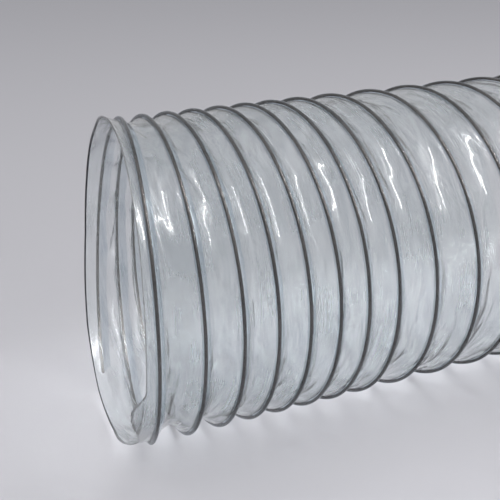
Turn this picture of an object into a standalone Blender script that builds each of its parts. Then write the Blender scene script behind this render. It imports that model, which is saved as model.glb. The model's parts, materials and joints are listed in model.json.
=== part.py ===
"""Flexible air duct: a clear film tape wound on a spring-steel wire helix.

Metres, +Z up. The axis runs along X, with the open mouth at -X, and the duct
lies on Z = 0. Real wire and tape are continuous; here they are cut once a turn,
all at one angle, because every turn can move on the next.

A place on the winding is its turn number: 0 at the top of the first wire turn
behind the mouth, counting up from there towards +X. Angles run from the top
over the -Y side, which makes the helix right-handed.
"""

import math

import bmesh
import bpy
from mathutils import Vector

# Sizes across the wall
BORE_DIAMETER = 0.160  # inside the film, under the wire
FILM_THICKNESS = 0.0005
WIRE_DIAMETER = 0.0016
LAP_THICKNESS = 0.0005
SEAT_GAP = 0.0003  # between layers that touch on the real duct

# Sizes along the duct
BUNCHED_PITCH = 0.0152  # wire spacing at the mouth half
STRETCHED_PITCH = 0.0256  # wire spacing at the far half
STRETCH_START_TURN = 6.1
STRETCH_END_TURN = 8.9
TURNS = 14
LAP_WIDTH = 0.0036
LAP_OFFSET = 0.0005  # the weld lap sits a little behind its wire
FOLD_DEPTH = 0.0032  # how far the film dips between two wires
MOUTH_MARGIN = 0.0050  # least bare film in front of the first wire
MOUTH_HEM = 0.0040  # flat film along the cut edge
END_MARGIN = 0.0070
BUTT_GAP = 0.0003  # between film edges that meet under a wire
TURN_GAP = 0.0016  # between lengths on the helix, room for their ends to pass when bent

# The first turns fan out towards the mouth, most on the -Y side
SIDE_LEAN = 0.0186
TOP_LEAN = 0.0044
LEAN_DECAY_TURNS = 1.9

# The mouth is cut across at a slant, which leans the same way but less
MOUTH_SIDE_SLANT = 0.0111
MOUTH_TOP_SLANT = 0.0048

# Where the helix is cut into turns, and where the wire itself begins
STATIONS_PER_TURN = 18
CUT_ANGLE = math.radians(150)
WIRE_START_ANGLE = math.radians(-150)

FILM_RADIUS = BORE_DIAMETER / 2
WIRE_RADIUS = FILM_RADIUS + FILM_THICKNESS + SEAT_GAP + WIRE_DIAMETER / 2
LAP_RADIUS = WIRE_RADIUS + WIRE_DIAMETER / 2 + SEAT_GAP
HALF_STATION = math.pi / STATIONS_PER_TURN
# The duct stands on the flat undersides of the weld laps
AXIS_HEIGHT = LAP_RADIUS * math.cos(HALF_STATION) + LAP_THICKNESS


def station_turn(station):
    """Turn number of a station; half a step off the top, so top and bottom are flats."""
    return (station + 0.5) / STATIONS_PER_TURN


def station_near(angle):
    return round(angle / math.tau * STATIONS_PER_TURN - 0.5)


CUT_STATION = station_near(CUT_ANGLE)
FILM_START_STATION = CUT_STATION - STATIONS_PER_TURN
WIRE_START_STATION = station_near(WIRE_START_ANGLE)
LAST_STATION = CUT_STATION + TURNS * STATIONS_PER_TURN


def cut_station(number):
    """Station where turn `number` ends and the next one begins."""
    return CUT_STATION + number * STATIONS_PER_TURN


def pitch_growth(turn):
    """Integral over the turns of the smooth step from bunched to stretched."""
    ramp = STRETCH_END_TURN - STRETCH_START_TURN
    share = (turn - STRETCH_START_TURN) / ramp
    if share <= 0:
        return 0.0
    if share >= 1:
        return ramp * (share - 0.5)
    return ramp * (share**3 - share**4 / 2)


def lean(turn, side, top):
    """How far a ring leans towards the mouth at a turn's angle."""
    angle = turn * math.tau
    return side * math.sin(angle) - top * math.cos(angle)


def wire_advance(turn):
    """Distance of the wire along the axis from turn 0, before centring."""
    advance = BUNCHED_PITCH * turn + (STRETCHED_PITCH - BUNCHED_PITCH) * pitch_growth(turn)
    fade = math.exp(-abs(turn) / LEAN_DECAY_TURNS)
    return advance - fade * lean(turn, SIDE_LEAN, TOP_LEAN)


def mouth_slant(turn):
    return lean(turn, MOUTH_SIDE_SLANT, MOUTH_TOP_SLANT)


FIRST_TURN = [station_turn(station) for station in range(WIRE_START_STATION, CUT_STATION + 1)]
MOUTH_CUT = min(wire_advance(turn) + mouth_slant(turn) for turn in FIRST_TURN) - MOUTH_MARGIN
MOUTH_TIP = min(
    MOUTH_CUT - mouth_slant(station_turn(station)) for station in range(STATIONS_PER_TURN)
)
END_TIP = wire_advance(station_turn(LAST_STATION)) + END_MARGIN
CENTRE_ADVANCE = (MOUTH_TIP + END_TIP) / 2
END_X = END_TIP - CENTRE_ADVANCE


def wire_x(turn):
    return wire_advance(turn) - CENTRE_ADVANCE


def mouth_edge_x(turn):
    return MOUTH_CUT - mouth_slant(turn) - CENTRE_ADVANCE


def on_winding(x, radius, turn):
    """World point at x, at a radius from the axis, at a turn's angle."""
    angle = turn * math.tau
    return Vector((x, -radius * math.sin(angle), AXIS_HEIGHT + radius * math.cos(angle)))


def trimmed_turn(station, first, last):
    """Turn of a station, with half of TURN_GAP taken off at either end of a length."""
    trim = TURN_GAP / 2 / (math.tau * WIRE_RADIUS)
    if station == first:
        return station_turn(station) + trim
    if station == last:
        return station_turn(station) - trim
    return station_turn(station)


# Scene

for old in list(bpy.data.objects):
    bpy.data.objects.remove(old, do_unlink=True)

duct = bpy.data.collections.new("flexible_air_duct")
bpy.context.scene.collection.children.link(duct)


def make_material(name, colour, roughness, metallic=0.0, alpha=1.0):
    material = bpy.data.materials.new(name)
    material.use_nodes = True
    shader = material.node_tree.nodes["Principled BSDF"]
    shader.inputs["Base Color"].default_value = (*colour, 1.0)
    shader.inputs["Roughness"].default_value = roughness
    shader.inputs["Metallic"].default_value = metallic
    shader.inputs["Alpha"].default_value = alpha
    material.diffuse_color = (*colour, alpha)
    return material


FILM = make_material("clear_film", (0.55, 0.58, 0.64), roughness=0.12, alpha=0.35)
LAP = make_material("welded_double_film", (0.36, 0.40, 0.47), roughness=0.18, alpha=0.55)
WIRE = make_material("spring_steel", (0.20, 0.19, 0.19), roughness=0.35, metallic=1.0)


class Carrier:
    """One rigid body: an empty on its joint's axis, and the pieces it carries."""

    def __init__(self, name, place, parent=None):
        self.place = Vector(place)
        self.empty = bpy.data.objects.new(name, None)
        self.empty.empty_display_size = BORE_DIAMETER / 8
        self.empty.location = self.place
        if parent:
            self.empty.parent = parent.empty
            self.empty.location = self.place - parent.place
        duct.objects.link(self.empty)

    def carry(self, name, data, material):
        data.materials.append(material)
        piece = bpy.data.objects.new(name, data)
        piece.parent = self.empty
        duct.objects.link(piece)
        return piece


# The wire

def wire_length(carrier, number, first, last):
    """One unbroken length of the wire helix, between two stations."""
    curve = bpy.data.curves.new(f"wire_turn_{number:02d}", "CURVE")
    curve.dimensions = "3D"
    curve.bevel_depth = WIRE_DIAMETER / 2
    curve.bevel_resolution = 1
    curve.use_fill_caps = True
    spline = curve.splines.new("POLY")
    spline.points.add(last - first)
    for point, station in zip(spline.points, range(first, last + 1)):
        turn = trimmed_turn(station, first, last)
        place = on_winding(wire_x(turn), WIRE_RADIUS, turn) - carrier.place
        point.co = (*place, 1.0)
    carrier.carry(curve.name, curve, WIRE)


# The film tape and its weld laps

def wound_strip(carrier, name, first, last, profile, thickness, material):
    """A flat strip wound on the duct: profile(turn) lists its (x, inner radius) across."""
    columns = len(profile(station_turn(first))) - 1
    rows = last - first
    strip = bmesh.new()
    bmesh.ops.create_grid(strip, x_segments=rows, y_segments=columns, size=0.5)
    for vertex in strip.verts:
        station = first + round((vertex.co.x + 0.5) * rows)
        column = round((vertex.co.y + 0.5) * columns)
        turn = trimmed_turn(station, first, last)
        x, radius = profile(turn)[column]
        vertex.co = on_winding(x, radius, turn) - carrier.place
    mesh = bpy.data.meshes.new(name)
    strip.to_mesh(mesh)
    strip.free()
    piece = carrier.carry(name, mesh, material)
    mesh.shade_smooth()
    mesh.set_sharp_from_angle(angle=math.radians(30))
    wall = piece.modifiers.new("wall", "SOLIDIFY")
    wall.thickness = thickness
    wall.offset = 1.0  # the profile is the inside of the strip
    wall.use_even_offset = True


def lap_profile(turn):
    """The tape's doubled edge, lying over the wire."""
    left = wire_x(turn) + LAP_OFFSET - LAP_WIDTH / 2
    return [(left, LAP_RADIUS), (left + LAP_WIDTH, LAP_RADIUS)]


def fold_profile(turn):
    """The film between a wire and the next, folded in halfway."""
    left = wire_x(turn) + BUTT_GAP / 2
    right = wire_x(turn + 1) - BUTT_GAP / 2
    return [
        (left, FILM_RADIUS),
        ((left + right) / 2, FILM_RADIUS - FOLD_DEPTH),
        (right, FILM_RADIUS),
    ]


def mouth_profile(turn):
    """The first turn of film: from the cut edge, under the wire, to the next wire."""
    edge = mouth_edge_x(turn)
    hem = max(wire_x(turn), edge + MOUTH_HEM)
    right = wire_x(turn + 1) - BUTT_GAP / 2
    return [
        (edge, FILM_RADIUS),
        (hem, FILM_RADIUS),
        ((hem + right) / 2, FILM_RADIUS - FOLD_DEPTH),
        (right, FILM_RADIUS),
    ]


def end_profile(turn):
    """The last turn of film, cut square at the far end."""
    return [(wire_x(turn) + BUTT_GAP / 2, FILM_RADIUS), (END_X, FILM_RADIUS)]


def lap_length(carrier, number, first, last):
    wound_strip(carrier, f"weld_lap_{number:02d}", first, last, lap_profile, LAP_THICKNESS, LAP)


def film_length(carrier, name, first, last, profile):
    wound_strip(carrier, name, first, last, profile, FILM_THICKNESS, FILM)


# The turns, from the mouth to the far end

ring = Carrier("mouth_carrier", (0.0, 0.0, 0.0))
wire_length(ring, 1, WIRE_START_STATION, cut_station(1))
lap_length(ring, 1, WIRE_START_STATION, cut_station(1))
film_length(ring, "film_mouth", FILM_START_STATION, CUT_STATION, mouth_profile)

for number in range(1, TURNS):
    start = cut_station(number - 1)
    cut = cut_station(number)
    # Each turn slides along the axis and swings about a line through its cut
    joint_place = (wire_x(station_turn(cut)), 0.0, AXIS_HEIGHT)
    fold = Carrier(f"film_slide_{number:02d}", joint_place, ring)
    film_length(fold, f"film_turn_{number:02d}", start, cut, fold_profile)
    ring = Carrier(f"turn_hinge_{number + 1:02d}", joint_place, fold)
    wire_length(ring, number + 1, cut, cut_station(number + 1))
    lap_length(ring, number + 1, cut, cut_station(number + 1))

film_length(ring, "film_end", cut_station(TURNS - 1), LAST_STATION, end_profile)


def least_wire_gap():
    """Least clear distance between points of the wire a third of a turn or more apart."""
    stations = range(WIRE_START_STATION, LAST_STATION + 1)
    turns = [station_turn(station) for station in stations]
    points = [on_winding(wire_x(turn), WIRE_RADIUS, turn) for turn in turns]
    apart = STATIONS_PER_TURN // 3
    least = min(
        (points[one] - points[other]).length
        for one in range(len(points))
        for other in range(one + apart, len(points))
    )
    return least - WIRE_DIAMETER


print(f"least gap of the wire to itself: {least_wire_gap() * 1000:.2f} mm")
print(f"length {(END_TIP - MOUTH_TIP) * 1000:.1f} mm, axis height {AXIS_HEIGHT * 1000:.2f} mm")
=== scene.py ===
"""Looks of the flexible air duct: a clear film tape wound on a spring-steel wire helix.

The winding's formulas and sizes repeat part.py's, in metres. A place on it is its turn
number: 0 at the top of the first wire turn, counting up towards +X; angles run from the
top over the -Y side. The film, the weld laps and the wire are each made whole, then cut
across at every joint into two slabs: slab a ends at its joint and slab b starts there;
neither is bent.
"""

import json
import math

import bmesh
import bpy
import numpy as np
from mathutils import Euler, Matrix, Vector, noise


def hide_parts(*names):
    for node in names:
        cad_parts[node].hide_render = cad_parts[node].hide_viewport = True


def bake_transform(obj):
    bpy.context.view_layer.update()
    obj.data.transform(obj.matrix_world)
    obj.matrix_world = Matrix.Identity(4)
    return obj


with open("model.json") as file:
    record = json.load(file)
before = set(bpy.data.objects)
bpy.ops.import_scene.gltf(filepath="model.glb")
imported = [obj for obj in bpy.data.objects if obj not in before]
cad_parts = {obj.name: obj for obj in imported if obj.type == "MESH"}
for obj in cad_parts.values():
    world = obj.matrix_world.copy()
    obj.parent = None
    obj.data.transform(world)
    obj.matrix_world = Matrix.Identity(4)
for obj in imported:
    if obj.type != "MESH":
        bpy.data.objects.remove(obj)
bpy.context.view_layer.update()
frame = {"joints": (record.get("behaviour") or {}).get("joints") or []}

# Sizes and formulas of part.py
BORE_RADIUS = 0.080
FILM_THICKNESS = 0.0005
WIRE_DIAMETER = 0.0016
SEAT_GAP = 0.0003
BUNCHED_PITCH = 0.0152
STRETCHED_PITCH = 0.0256
STRETCH_START_TURN = 6.1
STRETCH_END_TURN = 8.9
TURNS = 14
MOUTH_MARGIN = 0.0050
END_MARGIN = 0.0070
SIDE_LEAN = 0.0186
TOP_LEAN = 0.0044
LEAN_DECAY_TURNS = 1.9
MOUTH_SIDE_SLANT = 0.0111
MOUTH_TOP_SLANT = 0.0048
CAD_STATIONS = 18
CUT_TURN = 7.5 / CAD_STATIONS
WIRE_START_TURN = -7.5 / CAD_STATIONS
LAST_TURN = CUT_TURN + TURNS

WIRE_RADIUS = BORE_RADIUS + FILM_THICKNESS + SEAT_GAP + WIRE_DIAMETER / 2
LAP_RADIUS = WIRE_RADIUS + WIRE_DIAMETER / 2
AXIS_HEIGHT = (LAP_RADIUS + SEAT_GAP) * math.cos(math.pi / CAD_STATIONS) + FILM_THICKNESS


def wire_advance(turn):
    turn = np.asarray(turn, float)
    ramp = STRETCH_END_TURN - STRETCH_START_TURN
    share = np.clip((turn - STRETCH_START_TURN) / ramp, 0, None)
    growth = ramp * np.where(share < 1, share**3 - share**4 / 2, share - 0.5)
    angle = turn * math.tau
    lean = SIDE_LEAN * np.sin(angle) - TOP_LEAN * np.cos(angle)
    fade = np.exp(-np.abs(turn) / LEAN_DECAY_TURNS)
    return BUNCHED_PITCH * turn + (STRETCHED_PITCH - BUNCHED_PITCH) * growth - fade * lean


def mouth_slant(turn):
    angle = np.asarray(turn, float) * math.tau
    return MOUTH_SIDE_SLANT * np.sin(angle) - MOUTH_TOP_SLANT * np.cos(angle)


cad_turns = (np.arange(-8, 8) + 0.5) / CAD_STATIONS
MOUTH_CUT = float((wire_advance(cad_turns) + mouth_slant(cad_turns)).min()) - MOUTH_MARGIN
ring_turns = (np.arange(CAD_STATIONS) + 0.5) / CAD_STATIONS
MOUTH_TIP = float((MOUTH_CUT - mouth_slant(ring_turns)).min())
END_TIP = float(wire_advance(LAST_TURN)) + END_MARGIN
CENTRE_ADVANCE = (MOUTH_TIP + END_TIP) / 2
END_X = END_TIP - CENTRE_ADVANCE


def wire_x(turn):
    return wire_advance(turn) - CENTRE_ADVANCE


def mouth_edge_x(turn):
    return MOUTH_CUT - mouth_slant(turn) - CENTRE_ADVANCE


# The duct's own weight flattens it a little where it lies
RESTING_RADIUS = LAP_RADIUS + SEAT_GAP + FILM_THICKNESS * 0.4
SETTLE = RESTING_RADIUS - AXIS_HEIGHT
SETTLE_ANGLE = math.radians(32)


def on_duct(x, radius, turn):
    """Points (n, 3) at x, at a radius from the axis, at a turn's angle."""
    angle = np.asarray(turn, float) * math.tau
    off_bottom = np.abs((angle % math.tau) - math.pi)
    lift = SETTLE * np.exp(-((off_bottom / SETTLE_ANGLE) ** 2))
    y = -radius * np.sin(angle)
    z = AXIS_HEIGHT + radius * np.cos(angle) + lift
    return np.stack(np.broadcast_arrays(x, y, z), axis=-1)


def smooth_step(value, low, high):
    share = np.clip((value - low) / (high - low), 0, 1)
    return share * share * (3 - 2 * share)


def low_share(turn):
    """0 at the top of a turn, 1 at its bottom."""
    return 0.5 - 0.5 * np.cos(turn * math.tau)


def far_share(turn):
    """0 on the near side of a turn, -Y, and 1 on its far side, +Y."""
    return 0.5 - 0.5 * np.sin(turn * math.tau)


def fading(turn, start, turns):
    """1 up to a place on the winding, then falling by 1/e over so many turns."""
    return np.exp(-np.clip(turn - start, 0, None) / turns)


# Where the slabs meet

def joint_data():
    """For each turn's joints: x of the hinge, travel of the slide, lever times angle."""
    rows = []
    by_name = {joint["name"]: joint for joint in frame["joints"]}
    for number in range(1, TURNS):
        slide = by_name[f"squeeze_{number:02d}"]
        kind = "bend_side" if number % 2 else "bend_up"
        hinge = by_name[f"{kind}_{number:02d}"]
        travel = abs(min(slide["range_m"]))
        swing = WIRE_RADIUS * math.radians(max(abs(limit) for limit in hinge["range_deg"]))
        rows.append((float(wire_x(CUT_TURN + number)), travel, swing))
    return rows


JOINTS = joint_data()
FIRST_SLAB = 0.56 * BUNCHED_PITCH  # bending length in front of the first joint
LAST_SLAB = 0.30 * STRETCHED_PITCH  # bending length behind the last joint


def slabs():
    """Every slab from mouth to far end, as the arguments that bend takes after the piece."""
    found = []
    before = -math.inf
    for number, (place, _, swing) in enumerate(JOINTS, 1):
        fold = f"fold_{number:02d}"
        start = before if number > 1 else place - FIRST_SLAB
        found.append((f"{number:02d}a", before, place, start, f"turn_{number:02d}", fold))
        if number < len(JOINTS):
            following, next_travel, _ = JOINTS[number]
            end = border = place + (following - place) * swing / (swing + next_travel)
        else:
            end, border = place + LAST_SLAB, math.inf
        found.append((f"{number:02d}b", place, border, end, fold, f"turn_{number + 1:02d}"))
        before = border
    return found


SLABS = slabs()


# A blend is the same both ways round, apart from rounding: with several hinges turned at
# once, the pivot of the turn in these slabs comes out right only from far end to mouth
FAR_END_FIRST = ("04b", "09b", "11b")


def bend(piece, name, first, last, other, body_a, body_b):
    """Bake the place of a piece of a slab, which runs from x first to x last, into its mesh.

    The joint is at last in a slab a and at first in a slab b. A blend would run between it
    and other, which is finite at the duct's two ends too; none is made.
    """
    start, end = (other, last) if name.endswith("a") else (first, other)
    if name in FAR_END_FIRST:
        body_a, body_b, start, end = body_b, body_a, end, start
    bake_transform(piece)


# Film and laps: whole meshes, then slabs

class Sheet:
    """A whole surface as arrays: points, quads, tape coordinates, and from them the normals."""

    def __init__(self):
        self.points, self.quads, self.tape, self.marked, self.inner = [], [], [], [], []
        self.count = 0

    def add(self, points, tape):
        """Add a grid (rows, columns) of points; gives the grid of their numbers."""
        rows, columns = points.shape[:2]
        numbers = np.arange(rows * columns).reshape(rows, columns) + self.count
        self.points.append(points.reshape(-1, 3))
        self.tape.append(tape.reshape(-1, 2))
        self.count += rows * columns
        return numbers

    def skin(self, numbers, flip=False):
        a, b = numbers[:-1, :-1].ravel(), numbers[1:, :-1].ravel()
        c, d = numbers[1:, 1:].ravel(), numbers[:-1, 1:].ravel()
        order = (a, b, c, d) if flip else (a, d, c, b)
        self.quads.append(np.stack(order, axis=1))

    def mark(self, numbers, strength):
        """These points (rows, columns) lie on a cut edge of the film; this much painted shade in
        each row.
        """
        self.marked.append((numbers.ravel(), np.repeat(strength, numbers.shape[1])))

    def finish(self):
        """Merge the points that coincide, and find the normals."""
        self.points = np.concatenate(self.points)
        self.tape = np.concatenate(self.tape)
        self.quads = np.concatenate(self.quads)
        keys = np.round(self.points * 1e7).astype(np.int64)
        _, first, self.merged = np.unique(keys, axis=0, return_index=True, return_inverse=True)
        self.merged = self.merged.ravel()
        self.places = self.points[first]
        # painted shade along the film's cut edges
        self.edge = np.zeros(len(self.places))
        for numbers, strength in self.marked:
            self.edge[self.merged[numbers]] = strength
        self.inside = np.zeros(len(self.places))
        for numbers in self.inner:
            self.inside[self.merged[numbers]] = 1.0
        self.faces = self.merged[self.quads]
        across = self.places[self.faces[:, 2]] - self.places[self.faces[:, 0]]
        other = self.places[self.faces[:, 3]] - self.places[self.faces[:, 1]]
        face_normals = np.cross(across, other)
        self.normals = np.zeros_like(self.places)
        for corner in range(4):
            np.add.at(self.normals, self.faces[:, corner], face_normals)
        length = np.linalg.norm(self.normals, axis=1, keepdims=True)
        self.normals /= np.maximum(length, 1e-12)


def cut_mesh(sheet, name, first, last):
    """The part of a sheet with x from first to last, cut exactly at both planes."""
    x = sheet.places[sheet.faces, 0]
    chosen = np.flatnonzero((x.max(axis=1) > first) & (x.min(axis=1) < last))
    faces, tape_faces = sheet.faces[chosen], sheet.quads[chosen]
    used, local = np.unique(faces, return_inverse=True)
    local = local.reshape(faces.shape)
    cut = bmesh.new()
    normal_layer = cut.verts.layers.float_vector.new("sheet_normal")
    # painted shade of the cut edges, handed on to the material
    edge_shade_layer = cut.verts.layers.float.new("cut_edge")
    inside_layer = cut.verts.layers.float.new("inside")
    tape_layer = cut.loops.layers.uv.new("tape")
    verts = [cut.verts.new(place) for place in sheet.places[used]]
    for vertex, number in zip(verts, used):
        vertex[normal_layer] = sheet.normals[number]
        vertex[edge_shade_layer] = sheet.edge[number]
        vertex[inside_layer] = sheet.inside[number]
    for corners, tape_corners in zip(local, tape_faces):
        distinct = list(dict.fromkeys(corners))
        if len(distinct) < 3:
            continue
        face = cut.faces.new([verts[corner] for corner in distinct])
        face.smooth = True
        tape = {corner: sheet.tape[number] for corner, number in zip(corners, tape_corners)}
        for loop, corner in zip(face.loops, distinct):
            loop[tape_layer].uv = tape[corner]
    for plane, keep_above in ((first, True), (last, False)):
        if not math.isfinite(plane):
            continue
        geometry = cut.verts[:] + cut.edges[:] + cut.faces[:]
        bmesh.ops.bisect_plane(
            cut, geom=geometry, dist=1e-7, plane_co=(plane, 0, 0), plane_no=(1, 0, 0),
            clear_inner=keep_above, clear_outer=not keep_above,
        )
    normals = [vertex[normal_layer].normalized() for vertex in cut.verts]
    mesh = bpy.data.meshes.new(name)
    cut.to_mesh(mesh)
    cut.free()
    mesh.normals_split_custom_set_from_vertices(normals)
    return mesh


def place_piece(name, mesh, material):
    mesh.materials.append(material)
    piece = bpy.data.objects.new(name, mesh)
    bpy.context.scene.collection.objects.link(piece)
    return piece


# The film

FILM_STATIONS = 240  # per turn
FOLD_ROWS = 16
ROW_CROWDING = 0.07  # the rows lie closer together beside the wires
HEM_ROWS = 10
SEAM_STATIONS = 12  # the hem's waves fade over so many stations where its ends meet
NOISE_GAIN = 1.6  # the noise itself stays mostly within 0.6
FOLD_SEED = 4.0
HEM_SEED = 55.0
FOLD_DEPTH = 0.0030
FOLD_WANDER = 0.0006  # how far the depth wanders along the winding
MOUTH_WANDER = 0.0012  # and how much further at the mouth
MOUTH_DEPTHS = (0.0030, -0.0010, 0.0035)  # extra depth at the mouth: low, on top, far side
SHOULDER = 0.0014  # level film beside each wire
BROAD_WRINKLE = 0.0009
SLANTED_WRINKLE = 0.0005
FINE_WRINKLE = 0.00010
CREASE = 0.0004
FAR_CREASE = 0.0011  # more of it on the far side, at the mouth
LOW_LOOSE, FAR_LOOSE = 1.2, 0.7  # how much looser the mouth's folds are, low and far side
CUT_SHAPE = [  # (degrees from the top, mm behind the slanted cut, mm out) of the hand-cut edge
    (0, 0, 3.2), (22, 0, 2.8), (45, 0.2, 0.6), (70, 0.5, 0), (90, 1.3, 0), (106.5, 2.3, 0),
    (112, -4.2, 0), (118, -3.2, 0), (124, -0.6, 0), (132, 2.8, 0), (140, 5.2, 0),
    (147, 2.8, -0.4), (153, 1.0, -1.5), (161, 0.2, -2.6), (172, 0.8, -2.4), (186, 0.8, -0.8),
    (202, 0, 0), (232, -0.6, 0), (250, 0.3, 0), (270, 1.3, 0), (296, 1.0, 0), (320, 0, 0),
    (332, 0, 0.8), (342, 0, 2.6), (360, 0, 3.2),
]
EDGE_SHADE_BAND = 0.0010  # band of painted shade along the cut edge
HEM_SPAN = 0.010  # the mouth's hem, from the cut edge to the first wire, on the average
HEM_WAVE = 0.0006
END_CALM = 0.35  # the last turn's film lies nearly plain
NEAR_EDGE_SHADE = 0.4  # the cut edge's painted shade is lighter on the near side
WIRE_START_STATION = round((WIRE_START_TURN - CUT_TURN + 1) * FILM_STATIONS)
ALONG = math.tau * BORE_RADIUS  # metres of tape in a turn
PLAIN_RADIUS = BORE_RADIUS + FILM_THICKNESS / 2  # the film's middle surface, where it lies plain


def noise_field(along, across, seed, length, width):
    """Smooth noise, roughly -1 to 1, on the unrolled tape; no two turns are the same."""
    values = [
        noise.noise((a / length, c / width, seed))
        for a, c in zip(along.ravel(), across.ravel())
    ]
    return np.array(values).reshape(along.shape) * NOISE_GAIN


def wrinkles(turn, x, share):
    """How far the film stands in or out of its plain fold, in metres."""
    along = np.broadcast_to(turn * ALONG, x.shape)
    across = x + np.sin(along * 23.0) * 0.003  # nothing runs straight round the duct
    broad = noise_field(along, across, FOLD_SEED, length=0.055, width=0.016)
    slanted = noise_field(along + across * 2.6, across - along * 0.16, FOLD_SEED + 9,
                          length=0.030, width=0.0085)
    ridges = noise_field(along - across * 2.2, across, FOLD_SEED + 17, length=0.024, width=0.010)
    crease = 1 - 2 * np.abs(ridges)
    fine = noise_field(along, across, FOLD_SEED + 31, length=0.009, width=0.006)
    bunched = 1 - 0.45 * smooth_step(turn, STRETCH_START_TURN, STRETCH_END_TURN)
    window = np.sin(math.pi * share) ** 0.8
    sharp = CREASE + FAR_CREASE * far_share(turn) ** 2 * fading(turn, start=0.6, turns=0.8)
    amount = BROAD_WRINKLE * broad + SLANTED_WRINKLE * slanted
    amount = amount + sharp * crease + FINE_WRINKLE * fine
    return amount * bunched * window


def fold_depth(turn):
    """Depth of the fold between two wires along the winding, in metres."""
    near_mouth = fading(turn, start=0, turns=1.6)
    bottom = low_share(turn)
    low, top, far = MOUTH_DEPTHS
    along = turn * ALONG
    wander = noise_field(along, np.zeros_like(along), FOLD_SEED + 5, length=0.085, width=1.0)
    mouth_depth = low * bottom + top * (1 - bottom) + far * far_share(turn) ** 2
    reach = FOLD_WANDER + MOUTH_WANDER * near_mouth
    return FOLD_DEPTH + reach * wander + near_mouth * mouth_depth


def fold_radius(turn, x, left, right):
    """Radius of the film's middle surface between two wires, or the last wire and the end."""
    along = turn * ALONG
    width = np.maximum(right - left, 1e-6)
    shoulder = np.minimum(SHOULDER, 0.2 * width)
    share = np.clip((x - left - shoulder) / (width - 2 * shoulder), 0, 1)
    wander = noise_field(along, np.zeros_like(along), FOLD_SEED + 3, length=0.060, width=1.0)
    valley = 0.5 + 0.11 * wander
    side = np.where(share < valley, share / valley, (1 - share) / (1 - valley))
    side = side * side / (side + 0.10) * 1.10
    dip = 1 - (1 - side) ** 2
    slack = LOW_LOOSE * low_share(turn) ** 2 + FAR_LOOSE * far_share(turn) ** 2
    loose = 1 + slack * fading(turn, start=0.3, turns=1.2)
    sink = fold_depth(turn) * dip + wrinkles(turn, x, share) * loose
    opening = np.clip(width / BUNCHED_PITCH, 0, 1) ** 0.7
    calm = np.where(turn > LAST_TURN - 1, END_CALM, 1.0)
    return PLAIN_RADIUS - sink * opening * calm


def cut_shape(turn):
    """How far behind the slanted cut, and out from the plain film, the cut edge stands."""
    degrees, behind, out = np.array(CUT_SHAPE, float).T
    place = (np.asarray(turn, float) % 1.0) * 360
    nearby = (-0.8, 0, 0.8)  # degrees; their mean rounds the corners
    return [
        sum(np.interp((place + shift) % 360, degrees, values) for shift in nearby)
        / (1000 * len(nearby))
        for values in (behind, out)
    ]


def whole_film():
    steps = FILM_STATIONS * (TURNS + 1)
    turn = CUT_TURN - 1 + np.arange(steps + 1) / FILM_STATIONS
    stations = np.arange(steps + 1)
    right = np.where(stations <= steps - FILM_STATIONS, wire_x(turn + 1), END_X)
    # Before the wire begins, the fold opens as a wedge from the next wire
    opening = smooth_step(stations, 0, WIRE_START_STATION)
    left = right + (wire_x(turn) - right) * opening
    even = np.linspace(0, 1, FOLD_ROWS + 1)
    share = (even - ROW_CROWDING * np.sin(math.tau * even))[None, :]
    turn_grid = np.broadcast_to(turn[:, None], (steps + 1, FOLD_ROWS + 1))
    x = left[:, None] + (right - left)[:, None] * share
    radius = fold_radius(turn_grid, x, left[:, None], right[:, None])

    counted = np.arange(FILM_STATIONS + 1)
    hem_turn = turn[counted]
    behind, out = cut_shape(hem_turn)
    edge = mouth_edge_x(hem_turn) + behind
    hem_share = np.linspace(0, 1, HEM_ROWS)
    hem_share = np.insert(hem_share, 1, EDGE_SHADE_BAND / HEM_SPAN)[None, :]
    hem_x = edge[:, None] + (left[counted] - edge)[:, None] * hem_share
    hem_grid = np.broadcast_to(hem_turn[:, None], hem_x.shape)
    hem_wave = noise_field(hem_grid * ALONG, hem_x, HEM_SEED, length=0.045, width=0.020)
    from_seam = np.minimum(counted, FILM_STATIONS - counted)
    seam_window = smooth_step(from_seam, 0, SEAM_STATIONS)[:, None]
    hem_radius = PLAIN_RADIUS + HEM_WAVE * hem_wave * seam_window * (1 - hem_share**2)
    hem_radius = hem_radius + out[:, None] * (1 - hem_share) ** 1.4

    half = FILM_THICKNESS / 2
    # Painted shade on the cut edge: dark, as a clear film's edge looks end on, and lighter on
    # the near side
    near_side = np.clip(np.sin(hem_turn * math.tau), 0, 1)
    rim_shade = 1 - (1 - NEAR_EDGE_SHADE) * near_side
    sheet = Sheet()
    fold_tape = np.stack([turn_grid * ALONG, x], axis=-1)
    hem_tape = np.stack([hem_grid * ALONG, hem_x], axis=-1)
    grids = {}
    last = slice(steps - FILM_STATIONS, steps + 1)
    for side in (1, -1):
        fold = sheet.add(on_duct(x, radius + side * half, turn_grid), fold_tape)
        hem = sheet.add(on_duct(hem_x, hem_radius + side * half, hem_grid), hem_tape)
        if side < 0:
            sheet.inner += [fold.ravel(), hem.ravel()]
        # the mouth's cut edge and the far end's edge get painted shade
        sheet.mark(hem[:, :2], rim_shade)
        sheet.mark(fold[last, -1:], np.ones(FILM_STATIONS + 1))
        sheet.skin(fold, flip=side > 0)
        sheet.skin(hem, flip=side > 0)
        grids[side] = (fold, hem)
    mouth_rim = np.stack([grids[1][1][:, 0], grids[-1][1][:, 0]], axis=1)
    end_rim = np.stack([grids[1][0][last, -1], grids[-1][0][last, -1]], axis=1)
    sheet.skin(mouth_rim)
    sheet.skin(end_rim, flip=True)
    sheet.finish()
    return sheet


# The weld laps: the tape's doubled edge, over the wire and down onto the next turn

LAP_STATIONS = 180
LAP_HUG = [  # (behind the wire, above the film) of the lap where it hugs the wire
    (-0.00125, 0.00009), (-0.00098, 0.00050), (-0.00090, 0.00110), (-0.00078, 0.00155),
    (-0.00045, 0.00188), (0.0, 0.00200), (0.00045, 0.00188),
]
LAP_REACH = 0.0038  # from the wire to the welded edge on the next turn
TENT_ROWS = 5
TENT_SAG = 0.00022
LAP_SKIN = 0.00007  # half the band's thickness
WELD_LIFT = LAP_SKIN * 1.8  # from the film to the middle of the welded edge


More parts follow.
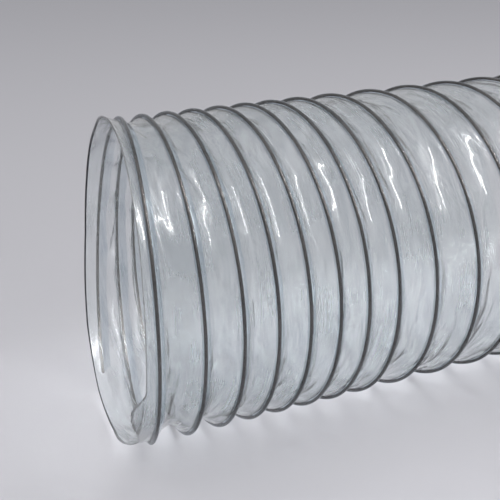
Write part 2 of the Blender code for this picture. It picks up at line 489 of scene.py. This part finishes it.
def lap_rows(turn):
    """(x, radius) of the lap's middle surface: over the wire, then down to the film."""
    base = BORE_RADIUS + FILM_THICKNESS
    wire = wire_x(turn)
    right = np.where(turn > LAST_TURN - 1, END_X, wire_x(turn + 1))
    landing_x = wire + LAP_REACH
    landing = fold_radius(turn, landing_x, wire, right) + FILM_THICKNESS / 2 + WELD_LIFT
    rows = [(wire + behind, np.full_like(wire, base + above)) for behind, above in LAP_HUG]
    top_x, top = rows[-1]
    for step in range(1, TENT_ROWS + 1):
        share = step / TENT_ROWS
        sag = TENT_SAG * math.sin(math.pi * share)
        rows.append((top_x + (landing_x - top_x) * share, top + (landing - top) * share - sag))
    return np.stack([np.stack(row, axis=-1) for row in rows], axis=1)


def whole_lap():
    steps = round((LAST_TURN - WIRE_START_TURN) * LAP_STATIONS)
    turn = WIRE_START_TURN + np.arange(steps + 1) / steps * (LAST_TURN - WIRE_START_TURN)
    middle = lap_rows(turn)
    slope = np.gradient(middle, axis=1)
    slope /= np.linalg.norm(slope, axis=2, keepdims=True)
    outward = np.stack([-slope[..., 1], slope[..., 0]], axis=-1) * LAP_SKIN
    turns = np.broadcast_to(turn[:, None], middle.shape[:2])
    grids = []
    sheet = Sheet()
    for side in (1, -1):
        points = middle + outward * side
        tape = np.stack([turns * ALONG, points[..., 0]], axis=-1)
        numbers = sheet.add(on_duct(points[..., 0], points[..., 1], turns), tape)
        sheet.skin(numbers, flip=side > 0)
        grids.append(numbers)
    for column, flip in ((0, False), (-1, True)):
        sheet.skin(np.stack([grids[0][:, column], grids[1][:, column]], axis=1), flip=flip)
    for row, flip in ((0, True), (-1, False)):
        sheet.skin(np.stack([grids[0][row], grids[1][row]], axis=1), flip=flip)
    sheet.finish()
    return sheet


# The wire: a centre line, made round by geometry nodes

WIRE_STATIONS = 144
WIRE_SIDES = 12


def wire_path():
    """Turns along the wire, with one wherever the wire crosses a border of the slabs."""
    steps = round((LAST_TURN - WIRE_START_TURN) * WIRE_STATIONS)
    turns = WIRE_START_TURN + np.arange(steps + 1) / WIRE_STATIONS
    places = wire_x(turns)
    crossings = []
    for _, _, border, *_ in SLABS[:-1]:
        for index in np.flatnonzero((places[:-1] < border) != (places[1:] < border)):
            low, high = turns[index], turns[index + 1]
            for _ in range(40):
                middle = (low + high) / 2
                if (wire_x(middle) < border) == (wire_x(low) < border):
                    low = middle
                else:
                    high = middle
            crossings.append((low + high) / 2)
    return np.unique(np.concatenate([turns, crossings]))


def round_wire_group(material):
    """Geometry nodes: a round tube along the mesh's edges."""
    group = bpy.data.node_groups.new("round_wire", "GeometryNodeTree")
    group.interface.new_socket("Geometry", in_out="INPUT", socket_type="NodeSocketGeometry")
    group.interface.new_socket("Geometry", in_out="OUTPUT", socket_type="NodeSocketGeometry")
    kinds = ("NodeGroupInput", "GeometryNodeMeshToCurve", "GeometryNodeCurveToMesh",
             "GeometryNodeSetShadeSmooth", "GeometryNodeSetMaterial", "NodeGroupOutput")
    nodes = [group.nodes.new(kind) for kind in kinds]
    circle = group.nodes.new("GeometryNodeCurvePrimitiveCircle")
    circle.inputs["Resolution"].default_value = WIRE_SIDES
    circle.inputs["Radius"].default_value = WIRE_DIAMETER / 2
    nodes[2].inputs["Fill Caps"].default_value = True
    nodes[4].inputs["Material"].default_value = material
    for before, after in zip(nodes, nodes[1:]):
        group.links.new(before.outputs[0], after.inputs[0])
    group.links.new(circle.outputs[0], nodes[2].inputs["Profile Curve"])
    return group


def wire_piece(name, first, last, turns, group, material):
    centre = wire_x(turns)
    middle = (centre[:-1] + centre[1:]) / 2
    chosen = np.flatnonzero((middle > first) & (middle < last))
    used, local = np.unique(np.stack([chosen, chosen + 1], axis=1), return_inverse=True)
    points = on_duct(centre[used], WIRE_RADIUS, turns[used])
    mesh = bpy.data.meshes.new(f"wire_{name}")
    mesh.from_pydata(points.tolist(), local.reshape(-1, 2).tolist(), [])
    piece = place_piece(mesh.name, mesh, material)
    piece.modifiers.new("round", "NODES").node_group = group
    return piece


# Materials

EDGE_SHADE_TINT = (0.035, 0.035, 0.042)  # painted shade of the cut edge, as dark as it looks end on
FILM_IOR = 1.46
LAP_IOR = 1.06  # the thin doubled band hardly bends the light
HAZE = 0.04  # share of the light that unwelded film scatters
SMALL_CREASE = 0.00078  # height of unwelded film's smallest creases


class Nodes:
    """A material's node tree, with short ways to add and link."""

    def __init__(self, name):
        self.material = bpy.data.materials.new(name)
        self.material.use_nodes = True
        self.tree = self.material.node_tree
        self.shader = self.tree.nodes["Principled BSDF"]

    def add(self, kind, **settings):
        node = self.tree.nodes.new(kind)
        for key, value in settings.items():
            setattr(node, key, value)
        return node

    def link(self, source, target):
        self.tree.links.new(source, target)

    def set(self, node, **values):
        for key, value in values.items():
            node.inputs[key.replace("_", " ")].default_value = value

    def on_object(self):
        return self.add("ShaderNodeTexCoord").outputs["Object"]

    def mapped(self, vector, **values):
        node = self.add("ShaderNodeMapping")
        self.set(node, **values)
        self.link(vector, node.inputs["Vector"])
        return node.outputs["Vector"]

    def noise(self, vector, **values):
        node = self.add("ShaderNodeTexNoise")
        self.set(node, **values)
        self.link(vector, node.inputs["Vector"])
        return node.outputs["Fac"]

    def bump(self, height, strength, distance):
        node = self.add("ShaderNodeBump")
        self.set(node, Strength=strength, Distance=distance)
        self.link(height, node.inputs["Height"])
        return node.outputs["Normal"]

    def math(self, operation, first, second=0.5):
        node = self.add("ShaderNodeMath", operation=operation)
        for socket, value in zip(node.inputs, (first, second)):
            if isinstance(value, (int, float)):
                socket.default_value = value
            else:
                self.link(value, socket)
        return node.outputs[0]

    def ramp(self, source, low, high, first, last):
        node = self.add("ShaderNodeMapRange")
        self.link(source, node.inputs["Value"])
        for key, value in zip(("From Min", "From Max", "To Min", "To Max"),
                              (low, high, first, last)):
            node.inputs[key].default_value = value
        return node.outputs["Result"]

    def mix(self, factor, first, second):
        node = self.add("ShaderNodeMix", data_type="RGBA")
        self.link(factor, node.inputs["Factor"])
        sockets = [socket for socket in node.inputs if socket.type == "RGBA"]
        for socket, colour in zip(sockets, (first, second)):
            if isinstance(colour, tuple):
                socket.default_value = (*colour, 1)
            else:
                self.link(colour, socket)
        return next(socket for socket in node.outputs if socket.type == "RGBA")


def film_material(name, pale, deep, smooth, rough, relief, ior, coat):
    """Clear glossy film. What lies right behind it stays sharp; what lies far behind blurs."""
    nodes = Nodes(name)
    shader = nodes.shader
    tape = nodes.add("ShaderNodeUVMap", uv_map="tape").outputs["UV"]
    # Streaks of the rolled film run along the tape
    streaks = nodes.noise(nodes.mapped(tape, Scale=(3.0, 900.0, 1.0)),
                          Scale=1.0, Detail=1.5, Roughness=0.6)
    cloud = nodes.noise(nodes.on_object(), Scale=38.0, Detail=2.0, Roughness=0.5)
    both = nodes.math("ADD", nodes.math("MULTIPLY", cloud, 0.6),
                      nodes.math("MULTIPLY", streaks, 0.4))
    shade = nodes.ramp(both, 0.36, 0.64, 0.0, 1.0)
    # Painted shade: along the cut edges the film is dark and nearly opaque, as clear film looks
    # end on
    edge = nodes.add("ShaderNodeAttribute", attribute_name="cut_edge").outputs["Fac"]
    tint = nodes.mix(shade, pale, deep)
    nodes.link(nodes.mix(edge, tint, EDGE_SHADE_TINT), shader.inputs["Base Color"])
    clear = nodes.ramp(edge, 0.0, 1.0, 1 - HAZE * relief, 0.1)
    nodes.link(clear, shader.inputs["Transmission Weight"])
    # The tape's outer face is matt, its inner face glossy
    inside = nodes.add("ShaderNodeAttribute", attribute_name="inside").outputs["Fac"]
    matt = nodes.ramp(shade, 0.0, 1.0, smooth, rough)
    glossy = nodes.math("SUBTRACT", 1.0, nodes.math("MULTIPLY", inside, 0.7))
    nodes.link(nodes.math("MULTIPLY", matt, glossy), shader.inputs["Roughness"])
    # Small creases run aslant over the tape
    turned = nodes.mapped(tape, Scale=(26.0, 95.0, 1.0), Rotation=(0.0, 0.0, 0.55))
    ripple = nodes.noise(turned, Scale=1.0, Detail=1.5, Roughness=0.45)
    ridge = nodes.math("ABSOLUTE", nodes.math("SUBTRACT", ripple, 0.5))
    crease = nodes.ramp(ridge, 0.0, 0.10, 0.15, 0.0)
    uneven = nodes.math("ADD", nodes.math("ADD", ripple, crease),
                        nodes.math("MULTIPLY", streaks, 0.014))
    normal = nodes.bump(uneven, 1.0, SMALL_CREASE * relief)
    nodes.link(normal, shader.inputs["Normal"])
    nodes.link(normal, shader.inputs["Coat Normal"])
    nodes.set(shader, IOR=ior, Specular_IOR_Level=0.2, Coat_Weight=coat,
              Coat_Roughness=0.025, Coat_IOR=FILM_IOR)
    return nodes.material


def steel_material():
    """Drawn spring wire: dark, fairly smooth, with faint marks."""
    nodes = Nodes("drawn_spring_steel")
    shader = nodes.shader
    marks = nodes.noise(nodes.on_object(), Scale=900.0, Detail=4.0)
    patches = nodes.noise(nodes.on_object(), Scale=70.0, Detail=2.0)
    tint = nodes.mix(patches, (0.120, 0.100, 0.090), (0.215, 0.184, 0.165))
    nodes.link(tint, shader.inputs["Base Color"])
    nodes.link(nodes.ramp(marks, 0.3, 0.7, 0.22, 0.26), shader.inputs["Roughness"])
    nodes.link(nodes.bump(marks, 0.02, 0.00005), shader.inputs["Normal"])
    nodes.set(shader, Metallic=1.0)
    return nodes.material


CLEAR = film_material("clear_tape", pale=(0.905, 0.924, 0.932), deep=(0.795, 0.828, 0.842),
                      smooth=0.18, rough=0.30, relief=1.0, ior=FILM_IOR, coat=0.7)
WELD = film_material("welded_tape", pale=(0.87, 0.905, 0.935), deep=(0.73, 0.78, 0.82),
                     smooth=0.02, rough=0.05, relief=0.22, ior=LAP_IOR, coat=0.15)
STEEL = steel_material()

# The pieces

film_sheet = whole_film()
lap_sheet = whole_lap()
wire_turns = wire_path()
wire_group = round_wire_group(STEEL)

for slab in SLABS:
    name, first, last = slab[:3]
    fold_number = int(name[:2])
    turn_number = fold_number if name.endswith("a") else fold_number + 1
    film = place_piece(f"film_{name}", cut_mesh(film_sheet, f"film_{name}", first, last),
                       CLEAR)
    lap = place_piece(f"lap_{name}", cut_mesh(lap_sheet, f"lap_{name}", first, last),
                      WELD)
    wire = wire_piece(name, first, last, wire_turns, wire_group, STEEL)
    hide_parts(f"wire_turn_{turn_number:02d}")
    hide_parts(f"weld_lap_{turn_number:02d}")
    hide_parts(f"film_turn_{fold_number:02d}")
    if name == SLABS[0][0]:
        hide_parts("film_mouth")
    if name == SLABS[-1][0]:
        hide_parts("film_end")
    for piece in (film, lap, wire):
        bend(piece, *slab)
    # Light passes through clear film, so the shadow on the floor is the wire's
    film.visible_shadow = lap.visible_shadow = False

# Floor, light and camera

FLOOR_RADIUS = 6.0
PAINTED_LIGHT_CENTRE = (-0.04, -0.14, 0.0)  # painted light: the floor is palest here, where the wires shade it
PAINTED_LIGHT_REACH = 2.4
PAINTED_LIGHT_GREYS = ((0.02, 0.62), (0.075, 0.515), (0.80, 0.515))  # (share of the reach, grey)
FLOOR_TINT = (1.0, 0.988, 1.04)


def floor():
    ground = bmesh.new()
    bmesh.ops.create_circle(ground, cap_ends=True, segments=96, radius=FLOOR_RADIUS)
    mesh = bpy.data.meshes.new("studio_floor")
    ground.to_mesh(mesh)
    ground.free()
    nodes = Nodes("floor_with_painted_light")
    length = nodes.add("ShaderNodeVectorMath", operation="DISTANCE")
    nodes.link(nodes.on_object(), length.inputs[0])
    length.inputs[1].default_value = PAINTED_LIGHT_CENTRE
    share = nodes.ramp(length.outputs["Value"], 0.0, PAINTED_LIGHT_REACH, 0.0, 1.0)
    # Painted light: a pale pool of grey on the floor in front of the duct, an even grey beyond
    # it
    painted_light_ramp = nodes.add("ShaderNodeValToRGB")
    painted_light_ramp.color_ramp.interpolation = "B_SPLINE"
    painted_light_ramp.color_ramp.elements.new(0.5)
    for stop, (position, grey) in zip(painted_light_ramp.color_ramp.elements, PAINTED_LIGHT_GREYS):
        stop.position = position
        stop.color = (*(grey * part for part in FLOOR_TINT), 1)
    nodes.link(share, painted_light_ramp.inputs["Fac"])
    nodes.link(painted_light_ramp.outputs["Color"], nodes.shader.inputs["Base Color"])
    nodes.set(nodes.shader, Roughness=0.9, Specular_IOR_Level=0.1)
    mesh.materials.append(nodes.material)
    ground = bpy.data.objects.new("studio_floor", mesh)
    bpy.context.scene.collection.objects.link(ground)


floor()


def lamp(name, place, width, height, power):
    """A flat lamp that faces the duct's middle."""
    data = bpy.data.lights.new(name, "AREA")
    data.shape = "RECTANGLE"
    data.size, data.size_y = width, height
    data.energy = power
    light = bpy.data.objects.new(name, data)
    light.location = place
    aim = Vector((0.0, 0.0, AXIS_HEIGHT)) - Vector(place)
    light.rotation_euler = aim.to_track_quat("-Z", "Y").to_euler()
    bpy.context.scene.collection.objects.link(light)


lamp("front_strip", place=(0.72, -0.74, 1.50), width=0.12, height=1.50, power=18)
lamp("high_softbox", place=(-1.5, 0.6, 2.0), width=2.4, height=2.4, power=6)

WORLD_GREYS = ((0.05, (0.49, 0.49, 0.505)), (0.85, (0.60, 0.605, 0.62)))  # low to high


def make_world():
    """Soft studio light from all round, brightest straight above."""
    world = bpy.data.worlds.new("studio")
    bpy.context.scene.world = world
    world.use_nodes = True
    tree = world.node_tree
    place = tree.nodes.new("ShaderNodeTexCoord")
    split = tree.nodes.new("ShaderNodeSeparateXYZ")
    tree.links.new(place.outputs["Generated"], split.inputs[0])
    ramp = tree.nodes.new("ShaderNodeValToRGB")
    for stop, (position, colour) in zip(ramp.color_ramp.elements, WORLD_GREYS):
        stop.position = position
        stop.color = (*colour, 1)
    tree.links.new(split.outputs["Z"], ramp.inputs["Fac"])
    tree.links.new(ramp.outputs["Color"], tree.nodes["Background"].inputs["Color"])


make_world()

# The camera fitted to the wires in the photograph
CAMERA_PLACE = (-0.2818, -0.4398, 0.2711)
CAMERA_AZIMUTH = -25.93
CAMERA_ELEVATION = 20.64
CAMERA_ROLL = -0.37
CAMERA_LENS = 70.63


def make_camera():
    data = bpy.data.cameras.new("camera")
    data.lens = CAMERA_LENS
    data.sensor_width = 36
    data.clip_start = 0.01
    camera = bpy.data.objects.new("camera", data)
    tilt = Euler((math.radians(90 - CAMERA_ELEVATION), 0, math.radians(CAMERA_AZIMUTH)), "XYZ")
    turned = tilt.to_matrix() @ Matrix.Rotation(math.radians(CAMERA_ROLL), 3, "Z")
    camera.matrix_world = Matrix.Translation(CAMERA_PLACE) @ turned.to_4x4()
    bpy.context.scene.collection.objects.link(camera)
    bpy.context.scene.camera = camera


make_camera()

scene = bpy.context.scene
scene.view_settings.view_transform = "Standard"
scene.cycles.max_bounces = 14
scene.cycles.transmission_bounces = 14
scene.cycles.diffuse_bounces = 3
scene.cycles.caustics_reflective = False
